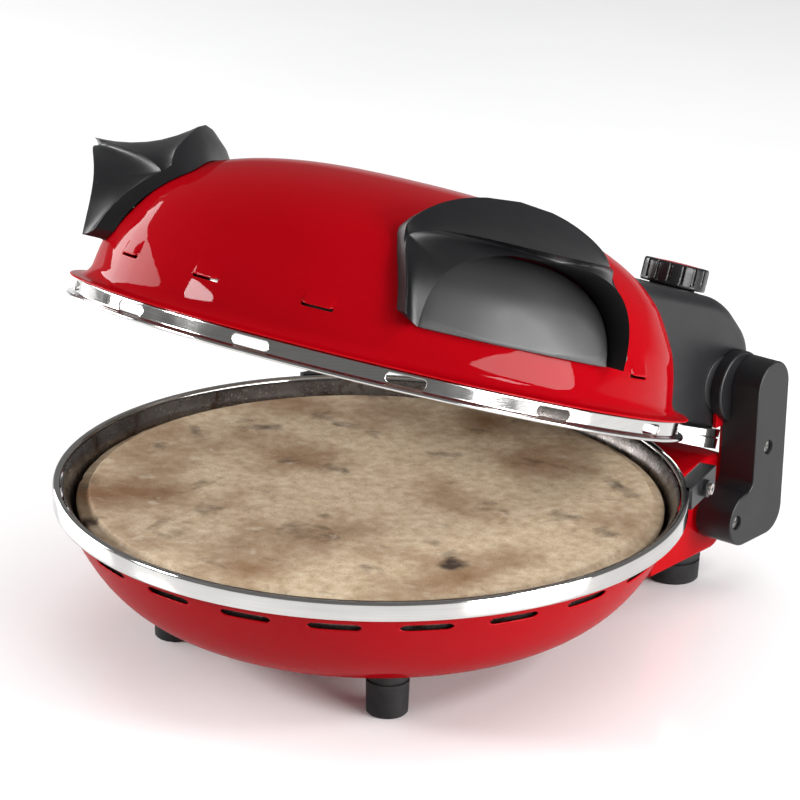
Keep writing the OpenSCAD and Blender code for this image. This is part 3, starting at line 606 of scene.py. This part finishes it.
def stone():
    """The baking stone with its stepped edge."""
    def worn(radius, z, degrees):
        a = math.radians(degrees)
        spot = Vector((radius * math.sin(a), radius * math.cos(a), z))
        chip = max(0.0, noise.noise(spot * 0.09) - 0.25) if radius > STONE_R - 12 else 0.0      # edge only
        return radius - chip * 1.6, z + 0.12 * noise.noise(spot * 0.05) - chip * 0.7

    flat = [(r, STONE_TOP) for r in range(150, 0, -10)]
    r, top = STONE_R, STONE_TOP
    profile = ([(0, top - STONE_THICK), (r - 5, top - STONE_THICK), (r - 3, top - 11.4), (r - 1, top - 9),
                (r - 0.3, top - 6), (r - 0.3, top - 4.3), (r - 1, top - 3.4), (r - 2, top - 3.1),
                (r - 5.6, top - 3), (r - 6.4, top - 2.6), (r - 7.2, top - 0.8), (r - 8, top - 0.2),
                (r - 9, top)] + flat + [(0, top)])
    piece("stone_shaped", lathe(profile, columns(1.25), shape=worn), BASE,
          "base", STONE, ("stone",))


# Place of the right foot of each pair, radius and height
FEET = {"front_feet": ((77, -78), 12, 27), "rear_feet": ((84, 184), 15.5, 20)}


def feet():
    """Each rubber foot has a chamfered sole with a well for its screw, and a ring moulded round its top."""
    for node_name, (place, radius, height) in FEET.items():
        for side in (-1, 1):
            profile = [(2.1, 6), (5, 6), (5, 0.6), (5.5, 0), (radius - 1.6, 0), (radius - 0.6, 1),
                       (radius - 0.5, 4), (radius - 0.1, height - 7.5), (radius - 1.0, height - 7),
                       (radius - 1.0, height - 6), (radius, height - 5.5), (radius, height - 0.6),
                       (radius - 1, height + 0.4), (2.1, height + 0.4)]
            bm = lathe([(2.1, height + 0.4)] + profile, columns(7.5))
            bm.transform(Matrix.Translation((side * place[0], place[1], 0)))
            made = piece(f"{node_name}_{'left' if side < 0 else 'right'}", bm, BASE,
                         "base", RUBBER, (node_name,))
            made.data.set_sharp_from_angle(angle=math.radians(50))


# ---------- lid ----------

# The dome is a superellipse: its radius at the height DOME_WIDEST, its top, and its two powers
DOME_R, DOME_TOP, DOME_WIDEST = 166.4, 104.3, -46.7
DOME_N, DOME_M = 2.6, 4.2
FLANGE_R = 175.7
COLLAR_R, LIP_R = 171.2, 175.3
LOUVRES = (-94, -23.5, 0, 23.5, 94)
LOUVRE_HALF = math.degrees(8.5 / 160)
LOUVRE_LOW, LOUVRE_HIGH, LOUVRE_TOP = 31.0, 33.0, 40.0
LOUVRE_OUT = 1.6


def dome_point(degrees, out=0.0):
    """(radius, height) on the dome at an angle from its widest to its top, or somewhat outside it."""
    a = math.radians(degrees)
    return ((DOME_R + out) * math.pow(max(math.cos(a), 0.0), 2 / DOME_N),
            DOME_WIDEST + (DOME_TOP - DOME_WIDEST + out) * math.pow(math.sin(a), 2 / DOME_M))


def dome_radius(h):
    share = math.pow((h - DOME_WIDEST) / (DOME_TOP - DOME_WIDEST), DOME_M)
    return DOME_R * math.pow(max(1 - share, 0.0), 1 / DOME_N)


def dome_height(r):
    share = 1 - math.pow(min(r / DOME_R, 1), DOME_N)
    return DOME_WIDEST + (DOME_TOP - DOME_WIDEST) * math.pow(share, 1 / DOME_M)


def nearest(angle, places):
    """Signed angle from the nearest of some places round the lid."""
    return min(((angle - p + 180) % 360 - 180 for p in places), key=abs)


def dome_profile():
    """The dome's outside, from its flange up to the crown, with rows set close at the louvres."""
    foot = [(FLANGE_R - 0.6, 11.0), (FLANGE_R, 11.5), (FLANGE_R - 0.5, 12.2), (172.5, 12.4), (169.6, 12.7),
            (167.6, 13.6), (166.2, 15.2)]
    heights = [17.6, 21, 25, 28.5, 30, LOUVRE_LOW, LOUVRE_HIGH, 34, 35.5, 37.5, LOUVRE_TOP, 43, 48]
    start, steps = 31, 22
    crown = [dome_point(start + (90 - start) * i / steps) for i in range(steps + 1)]
    return foot + [(dome_radius(h), h) for h in heights] + [p for p in crown if p[1] > heights[-1] + 3]


def dome():
    """The red lid with its five louvres."""
    def is_open(angle, h):
        return abs(nearest(angle, LOUVRES)) < LOUVRE_HALF and LOUVRE_LOW < h < LOUVRE_HIGH

    def pressed(radius, h, angle):
        """Pushes the metal above each slot outwards, as a louvre's hood."""
        off = abs(nearest(angle, LOUVRES)) / LOUVRE_HALF
        if not LOUVRE_HIGH - 0.1 < h < LOUVRE_TOP or off >= 1:
            return radius, h
        rise = math.cos(math.pi / 2 * (h - LOUVRE_HIGH) / (LOUVRE_TOP - LOUVRE_HIGH)) ** 1.5
        across = min(1.0, (1 - off) * 5) ** 0.7
        return radius + LOUVRE_OUT * rise * across, h - 0.8 * rise * across

    marks = [p + side * LOUVRE_HALF * share for p in LOUVRES for side in (-1, 1)
             for share in (0.35, 0.7, 0.86, 1.0, 1.13)]
    bm = lathe(dome_profile(), columns(2.5, marks + list(LOUVRES)), is_open, pressed)
    bm.transform(Matrix.Translation((0, 0, LIP_Z)))
    made = piece("dome_shaped", bm, LID, "lid", RED, ("lid_dome",))
    thicken(made, SHEET)
    smoothed(made)


HOLES = tuple(range(-98, 99, 28))
HOLE_HALF = math.degrees(10.5 / COLLAR_R)
HOLE_R, HOLE_Z = 2.6, 6.2


def collar():
    """The bright ring under the dome, with rolled lip and oval holes."""
    mm = math.degrees(1 / COLLAR_R)

    def is_open(angle, h):
        along = max(abs(nearest(angle, HOLES)) / mm - (HOLE_HALF / mm - HOLE_R), 0)
        return math.hypot(along, h - HOLE_Z) < HOLE_R

    marks = [p + side * (HOLE_HALF - inset * mm) for p in HOLES for side in (-1, 1)
             for inset in (-0.9, 0, 0.45, 1.2, 2.6)]
    rolled = arc((LIP_R - 1.2, 1.2), 1.2, -90, 90, 8)
    profile = ([(COLLAR_R - 0.2, 1.2), (COLLAR_R + 0.6, 0.25), (COLLAR_R + 1.8, 0)] + rolled
               + [(COLLAR_R + 1.4, 2.4), (COLLAR_R + 0.4, 2.7)]
               + [(COLLAR_R, HOLE_Z + d) for d in (-3.1, -2.6, -2.0, -1.2, 0, 1.2, 2.0, 2.6, 3.1)]
               + [(COLLAR_R, 10.2), (COLLAR_R - 0.3, 10.9), (COLLAR_R - 1.5, 11), (160, 11)])
    bm = lathe(profile, columns(2, marks), is_open)
    bm.transform(Matrix.Translation((0, 0, LIP_Z)))
    made = piece("collar_shaped", bm, LID, "lid", STEEL, ("lid_collar",))
    thicken(made, 0.8)
    smoothed(made)


# ---------- handles ----------

# A handle is drawn facing +Y: u along it, v out from the lid's axis, h above the lid's lip
HANDLE_AZ = math.radians(62)
HANDLE_A = 66
FOOT_H = 34
RIM_ARCH, DEEP_ARCH, PAD_ARCH, EDGE_ARCH = (61, 48), (57, 45), (56.8, 44.6), (HANDLE_A, 52)
ARCH_N, EDGE_N = 2.7, 6
MOUTH_V, MOUTH_OUT, MOUTH_SPAN = 164, 17, 62
RIDGE_V, RIDGE_END = 184, 64
CREST_V, CREST_H, CREST_FALL = 124, DOME_TOP + 3, 19.3
BACK_V = 110
HOOD_STATIONS = 120


def bow(degrees, size, n):
    """A point on a rounded arch over the handle's foot, as (along, height)."""
    c, s = math.cos(math.radians(degrees)), math.sin(math.radians(degrees))
    return math.copysign(size[0] * math.pow(abs(c), 2 / n), c), FOOT_H + size[1] * math.pow(s, 2 / n)


def dome_out(u, h):
    """How far out the dome's side is, at a place along the handle and a height."""
    return math.sqrt(dome_radius(h - 0.4) ** 2 - u * u) + 0.4


def between(p, q, t):
    return Vector(p).lerp(Vector(q), t)


def hood_loop(degrees):
    """One closed loop round the hood's section: mouth, ridge, crest, back along the dome, mouth."""
    u, h = bow(degrees, RIM_ARCH, ARCH_N)
    spread = max(0, 1 - (u / MOUTH_SPAN) ** 2)
    mouth = Vector((u, MOUTH_V + MOUTH_OUT * (h - FOOT_H) / RIM_ARCH[1] * spread, h))
    u, h = bow(degrees, DEEP_ARCH, ARCH_N)
    deep = Vector((u, dome_out(u, h), h))
    u, h = bow(degrees, EDGE_ARCH, EDGE_N)
    ridge = Vector((u, max(RIDGE_V - RIDGE_END * (u / HANDLE_A) ** 2, dome_out(u, h) + 10), h))
    lift = max(0.0, ((h - FOOT_H) / EDGE_ARCH[1] - 0.75) / 0.25)
    q = (u / HANDLE_A) ** 2
    crest = between((u, ridge.y - 2, h), (u, CREST_V - 4 * q, CREST_H - CREST_FALL * q), lift)
    back_h = h + (dome_height(math.hypot(u, BACK_V)) - h) * lift
    back = Vector((u, dome_out(u, back_h), back_h))
    scoop = [between(mouth, ridge, t) - Vector((0, 0.5 * (ridge - mouth).length * t * (1 - t), 0))
             for t in (0, 0.03, 0.1, 0.2, 0.35, 0.5, 0.65, 0.8, 0.9, 0.975)]
    wing = [Vector((u, ridge.y + (crest.y - ridge.y) * t, ridge.z + (crest.z - ridge.z) * math.pow(t, 2.2)))
            for t in (0, 0.02, 0.1, 0.2, 0.35, 0.5, 0.65, 0.8, 0.92, 0.985)]
    over = [crest, between(crest, back, 0.08) + Vector((0, -0.3, 0.3)) * lift,
            between(crest, back, 0.5) + Vector((0, -1.5, 1)) * lift]
    under = [between(back, deep, t) for t in (0, 0.25, 0.5, 0.75, 1)]
    under = [Vector((p.x, dome_out(p.x, p.z), p.z)) for p in under]
    wall = [between(deep, mouth, t) for t in (0.04, 0.3, 0.6, 0.85, 0.97)]
    return [Vector((p.x, -p.y, p.z)) for p in scoop + wing + over + under + wall]


def to_handle(bm, side):
    """Turns a shape that was drawn facing +Y to a handle's place."""
    bm.transform(Matrix.Translation((0, 0, LIP_Z)) @ Matrix.Rotation(HANDLE_AZ, 4, "Z"))
    return handed(bm, side)


def handle(name, side):
    ends = [0.09, 1.2, 3]
    angles = (ends + [180 * i / HOOD_STATIONS for i in range(4, HOOD_STATIONS - 3)]
              + [180 - a for a in reversed(ends)])
    bm = to_handle(loft([hood_loop(a) for a in angles]), side)
    made = piece(f"{name}_shaped", bm, LID, "lid", BLACK, (name,))
    made.data.set_sharp_from_angle(angle=math.radians(48))


def handle_pad(name, side):
    """The plate inside the finger pocket, with a rounded edge."""
    flat = 0.955        # share of the pad inside its rounded edge
    steps = 48
    bm = bmesh.new()
    grid = []
    for share in (0.3, 0.55, 0.75, 0.88, flat, 0.985, 1.0):
        row = []
        for i in range(steps + 1):
            u, h = bow(180 * i / steps, [PAD_ARCH[0] * share, PAD_ARCH[1] * share], ARCH_N)
            h = max(h, FOOT_H + 0.3)
            fall = 3.0 * (1 - math.sqrt(max(0.0, 1 - max(0.0, (share - flat) / (1 - flat)) ** 2)))
            row.append(bm.verts.new((u, -(dome_out(u, h) + 2.8 - fall), h)))
        grid.append(row)
    for near, far in zip(grid, grid[1:]):
        for j in range(steps):
            bm.faces.new((near[j], near[j + 1], far[j + 1], far[j]))
    bm.faces.new(grid[0])
    bmesh.ops.recalc_face_normals(bm, faces=bm.faces)
    if max(bm.faces, key=lambda f: f.calc_area()).normal.y > 0:
        bmesh.ops.reverse_faces(bm, faces=bm.faces)
    # The pad's lighter plastic is painted light on the pocket's floor.
    made = piece(f"{name}_shaped", to_handle(bm, side), LID, "lid", LIT_PAD_BLACK, (name,))
    thicken(made, 2.4)
    made.data.set_sharp_from_angle(angle=math.radians(60))


# ---------- rear housing ----------

HOUSING_HALF, HOUSING_LOW = 103, 97
DOME_START = 9.5        # where the dome begins above its flange, in degrees
HOUSING_ROUNDING, HOUSING_FOOT_ROUNDING = 8, 3
TOP_ARC, DRUM_ARC = ((165, 102.6), 68.9), ((191.7, 128.8), 33.3)


def housing_outline():
    """(Y, Z) points of the housing's side with their outward directions, from the bottom front round
    the drum and over the roof."""
    (ty, tz), tr = TOP_ARC
    (dy, dz), dr = DRUM_ARC
    touch = math.degrees(math.acos((tr - dr) / math.hypot(dy - ty, dz - tz)) + math.atan2(dz - tz, dy - ty))
    low = -math.degrees(math.asin((dz - HOUSING_LOW) / dr))
    drum, top = arc((dy, dz), dr, low, touch, 28), arc((ty, tz), tr, touch, 90, 8)
    points = [(p, ((p[0] - dy) / dr, (p[1] - dz) / dr)) for p in drum]
    points += [(p, ((p[0] - ty) / tr, (p[1] - tz) / tr)) for p in top[1:]]
    roof = [((y, tz + tr), (0.0, 1.0)) for y in (150, 130, 110, 90)]
    floor = [((y, float(HOUSING_LOW)), (0.0, -1.0)) for y in (90, 115, 140, 160)]
    return floor + points + roof


def housing():
    """The black case across the back of the lid, cut to fit the dome."""
    loops = []
    steps = 9
    for side in (-1, 1):
        turns = range(steps + 1) if side < 0 else range(steps, -1, -1)
        for k in turns:
            turn = math.radians(90 * k / steps)
            loop = []
            for (y, z), (ny, nz) in housing_outline():
                upright = HOUSING_ROUNDING if nz > 0 else HOUSING_FOOT_ROUNDING
                fillet = math.hypot(HOUSING_ROUNDING * ny, upright * nz)
                drop = fillet * (1 - math.sin(turn))
                x = side * (HOUSING_HALF - fillet * (1 - math.cos(turn)))
                loop.append((x, y - ny * drop, z - nz * drop))
            loops.append(loop)
    made = piece("housing_shaped", loft(loops), LID, "lid", BLACK, ("rear_housing",))
    profile = ([(0, -40), (FLANGE_R + 0.3, -40), (FLANGE_R + 0.3, 12.5), (170.3, 12.9), (167.1, 14.9)]
               + [dome_point(DOME_START + (90 - DOME_START) * i / 28, 0.3) for i in range(29)])
    bm = lathe(profile, columns(2.5))
    bm.transform(Matrix.Translation((0, 0, LIP_Z)))
    cut_by(made, cutter("dome_space", bm, LID))
    made.data.set_sharp_from_angle(angle=math.radians(35))


def hubs():
    """The low collars round the pins, which run against the brackets."""
    for side in (-1, 1):
        bm = lathe([(16.4, -0.4), (16, 0.3), (15.7, 0.8), (15.4, 0.9), (4.1, 0.9)], columns(5))
        turn = Matrix.Rotation(math.radians(90), 4, "Y")
        bm.transform(Matrix.Translation((HOUSING_HALF, HINGE_Y, HINGE_Z)) @ turn)
        piece(f"housing_hub_{'left' if side < 0 else 'right'}", handed(bm, side), LID, "lid",
              BLACK)


KNOB_AT, KNOB_LOW = (62.3, 182.5), 172
KNOB_R, KNOB_H, KNOB_GROOVES = 19.4, 13.5, 16
GROOVE_HALF, GROOVE_DEEP = 4.2, 1.1     # degrees and mm
CAP_R = KNOB_R - 4.9
POINTER_FROM, POINTER_TO, POINTER_HALF = 5, 12.6, 1.1
BOSS_R, SPIGOT_R = KNOB_R - 2.5, 13.5


def knob_boss():
    """The round pedestal under the knob: its foot flares into the housing's roof, and a spigot on its
    top stands in the knob's hollow."""
    profile = [(BOSS_R + 1.2, 152), (BOSS_R + 0.8, 156), (BOSS_R + 0.5, 160), (BOSS_R + 0.2, 164),
               (BOSS_R, 167), (BOSS_R, 169.6), (BOSS_R - 0.3, 170.5), (BOSS_R - 1, 171), (SPIGOT_R, 171),
               (SPIGOT_R, 172.7), (3.6, 172.7), (3.6, 160)]
    bm = lathe(profile, columns(5))
    bm.transform(Matrix.Translation((*KNOB_AT, 0)))
    piece("knob_boss", bm, LID, "lid", BLACK)


def knob():
    def grooved(radius, z, degrees):
        """Narrow grip grooves, which fade out above the skirt."""
        if radius < KNOB_R - GROOVE_DEEP:
            return radius, z
        off = abs(nearest(degrees, [k * 360 / KNOB_GROOVES for k in range(KNOB_GROOVES)]))
        groove = max(0.0, 1 - (off / GROOVE_HALF) ** 2) ** 0.5
        return radius - GROOVE_DEEP * groove * min(1.0, max(0.0, (z - 2.0) / 0.8)), z

    r = KNOB_R
    profile = [(3, 1.2), (14, 1.2), (14, 0.2), (14.4, 0), (r - 0.8, 0), (r - 0.2, 0.3), (r, 0.9), (r, 2.0),
               (r, 2.9), (r, 6), (r, 9), (r, 11.6), (r - 0.1, 12.4), (r - 0.5, 13.1), (r - 1.1, KNOB_H),
               (r - 2.6, KNOB_H), (r - 3.3, 13.3), (r - 3.8, 12.7), (r - 4.8, 12.7), (r - 4.8, 11.2),
               (0, 11.2)]
    marks = [k * 360 / KNOB_GROOVES + side * off for k in range(KNOB_GROOVES) for side in (-1, 1)
             for off in (0, 1.2, 2.2, 3.1, 3.8, GROOVE_HALF)]
    bm = lathe(profile, columns(3, marks), shape=grooved)
    bm.transform(Matrix.Translation((*KNOB_AT, KNOB_LOW)))
    made = piece("knob_shaped", bm, LID, "knob", KNOB, ("knob",))
    made.data.set_sharp_from_angle(angle=math.radians(50))


def knob_cap():
    """The slightly domed red disc in the top of the knob, with a hollow for the pointer."""
    def hollowed(radius, z, degrees):
        off = radius * math.sin(math.radians(nearest(degrees, (0,))))
        ahead = radius * math.cos(math.radians(nearest(degrees, (0,))))
        dent = max(0.0, 1 - (off / POINTER_HALF) ** 2) if POINTER_FROM < ahead < POINTER_TO else 0.0
        return radius, z - (0.6 * dent if z > 13.4 else 0.0)

    profile = ([(0, 11.2), (CAP_R - 0.2, 11.2), (CAP_R, 11.4), (CAP_R, 13.1), (CAP_R - 0.3, 13.4),
                (CAP_R - 1.0, 13.6)]
               + [(r, 14.0 - 0.4 * (r / 13.5) ** 2)
                  for r in (POINTER_TO, POINTER_TO - 0.2, 9, POINTER_FROM + 0.2, POINTER_FROM, 3)]
               + [(0, 14.0)])
    bm = lathe(profile, columns(4, (-12, -8, -4.5, -2.2, 0, 2.2, 4.5, 8, 12)), shape=hollowed)
    bm.transform(Matrix.Translation((*KNOB_AT, KNOB_LOW)))
    piece("knob_cap_shaped", bm, LID, "knob", RED, ("knob_cap",))


# ---------- arms ----------

ARM_IN, ARM_OUT = 106.3, 130
ARM_HOLES = ((178.6, 47.6), (208, 86.5))
WELL_R, WELL_DEEP = 4.1, 4
KNUCKLE, KNUCKLE_R = (204, 120), 21.5
KNUCKLE_IN, KNUCKLE_OUT = ARM_IN - 2.15, ARM_IN + 4.7


def arm_outline(inset):
    """(Y, Z) points over the arm's top, down its back, round the boss at its foot and up its front."""
    return (arc((210, 122.5), 16 - inset, 180, 0, 28) + arc((211, 46.5), 15 - inset, 0, -90, 12)
            + arc((187, 47.3), 15.8 - inset, -90, -270, 26) + arc((187, 70.1), 7 + inset, -90, 0, 10)
            + [(194 + inset, 80), (194 + inset, 92), (194 + inset, 108)])


def arms():
    """The black covers of the hinge, with a well for each screw and a round shoulder on the inner side."""
    for side, hand in ((-1, "left"), (1, "right")):
        name = f"arm_cover_{hand}"
        post = handed(rounded_plate(arm_outline, ARM_IN, ARM_OUT, 1.0), side)
        made = piece(f"{name}_shaped", post, BASE, "base", BLACK, (name,))
        wells = bmesh.new()
        for y, z in ARM_HOLES:
            well = lathe([(0, ARM_OUT - WELL_DEEP), (WELL_R, ARM_OUT - WELL_DEEP), (WELL_R, ARM_OUT - 0.5),
                          (WELL_R + 0.4, ARM_OUT + 0.05), (WELL_R + 0.4, ARM_OUT + 2), (0, ARM_OUT + 2)],
                         columns(7.5))
            well.transform(Matrix.Translation((0, y, z)) @ Matrix.Rotation(math.radians(90), 4, "Y"))
            joined(wells, well)
        cut_by(made, cutter("wells", handed(wells, side), BASE))
        made.data.set_sharp_from_angle(angle=math.radians(32))
        knuckle = rounded_plate(lambda inset: arc(KNUCKLE, KNUCKLE_R - inset, 0, 354, 59),
                                KNUCKLE_IN, KNUCKLE_OUT, 1.4)
        made = piece(f"arm_knuckle_{hand}", handed(knuckle, side), BASE, "base", BLACK)
        made.data.set_sharp_from_angle(angle=math.radians(32))


# ---------- CAD nodes that keep their shape ----------

KEPT = (
    (DISH, ("stone_supports", "lower_element_clips", "upper_element_clips")),
    (FASTENER, ("foot_screws", "arm_screws", "bracket_screws", "hinge_pins", "pin_circlips",
                "friction_washers", "rim_clip_screws", "handle_screws", "thermostat_screws",
                "thermostat_shaft")),
    (BRASS, ("terminal_screws",)),
    (CERAMIC, ("element_bushes", "terminal_block", "thermostat_body")),
    (ELEMENT, ("lower_element", "upper_element")),
    (REFLECTOR, ("lid_reflector",)),
    (COPPER, ("thermostat_bulb",)),
    (SLEEVE, ("base_wires", "lid_wires")),
    (RUBBER, ("cable_gland",)))


def dress_kept_nodes():
    for look, names in KEPT:
        for name in names:
            for material_slot in frame["nodes"][name].material_slots:
                material_slot.material = look


def soften_plates():
    """Small rounded edges on the pressed plates and clips."""
    for side in ("left", "right"):
        softened(f"hinge_bracket_{side}", 0.3, RED)
        softened(f"hinge_link_{side}", 0.5, STEEL)
        softened(f"rim_clip_{side}", 0.9, BLACK)


# ---------- camera and light ----------

FLOOR_SIZE = 14
WORLD_STRENGTH = 0.22
AIM = Vector((0, 0, 0.13))
# Name, place, width, height, watts, and whether glossy surfaces mirror it
LAMPS = (
    ("fill", (0.0, 0.8, 2.4), 3.4, 3.8, 60, False),
    ("front_fill", (0.6, -2.4, 0.6), 2.4, 0.8, 4, False),
    ("left_fill", (-2.4, -0.2, 0.6), 2.0, 0.8, 46, True),
    ("right_fill", (2.4, 0.2, 0.6), 2.0, 0.8, 84, True),
    ("key", (-1.25, -1.45, 0.95), 0.5, 0.42, 32, True),
    ("side", (1.5, 0.35, 1.15), 0.5, 0.35, 15, True))


def studio():
    bpy.ops.mesh.primitive_plane_add(size=FLOOR_SIZE)
    floor = bpy.context.object
    floor.name = "studio_floor"
    floor.data.materials.append(studio_floor())
    world = bpy.data.worlds.new("studio")
    world.use_nodes = True
    background = world.node_tree.nodes["Background"]
    background.inputs["Color"].default_value = (1, 1, 1, 1)
    background.inputs["Strength"].default_value = WORLD_STRENGTH
    bpy.context.scene.world = world
    for name, place, width, height, watts, mirrored in LAMPS:
        lamp = bpy.data.lights.new(name, "AREA")
        lamp.shape = "RECTANGLE"
        lamp.size, lamp.size_y = width, height
        lamp.energy = watts
        held = bpy.data.objects.new(name, lamp)
        held.location = place
        held.rotation_euler = (AIM - Vector(place)).to_track_quat("-Z", "Y").to_euler()
        held.visible_glossy = mirrored
        bpy.context.scene.collection.objects.link(held)


# The camera's place from the middle of the base, its directions in degrees, and its lens in mm
CAMERA_FROM = Vector((1.1440, -1.4321, 0.7960))
AZIMUTH, ELEVATION, ROLL = 38.151, 19.705, 1.52
SENSOR, LENS = 36, 157.59


def camera():
    made = bpy.data.cameras.new("camera")
    made.sensor_width = SENSOR
    made.lens = LENS
    held = bpy.data.objects.new("camera", made)
    a, e = math.radians(AZIMUTH), math.radians(ELEVATION)
    forward = Vector((-math.sin(a) * math.cos(e), math.cos(a) * math.cos(e), -math.sin(e)))
    upright = forward.to_track_quat("-Z", "Y").to_matrix().to_4x4()
    place = CAMERA_FROM + Vector((0, CENTRE.y, 0))
    held.matrix_world = Matrix.Translation(place) @ upright @ Matrix.Rotation(math.radians(ROLL), 4, "Z")
    bpy.context.scene.collection.objects.link(held)
    bpy.context.scene.camera = held


camera()
studio()
bowl()
bowl_neck()
rim()
dish()
stone()
feet()
dome()
collar()
for hand, way in (("left", -1), ("right", 1)):
    handle(f"handle_{hand}", way)
    handle_pad(f"handle_pad_{hand}", way)
housing()
hubs()
knob_boss()
knob()
knob_cap()
arms()
soften_plates()
dress_kept_nodes()
bpy.context.scene.view_settings.view_transform = "Standard"
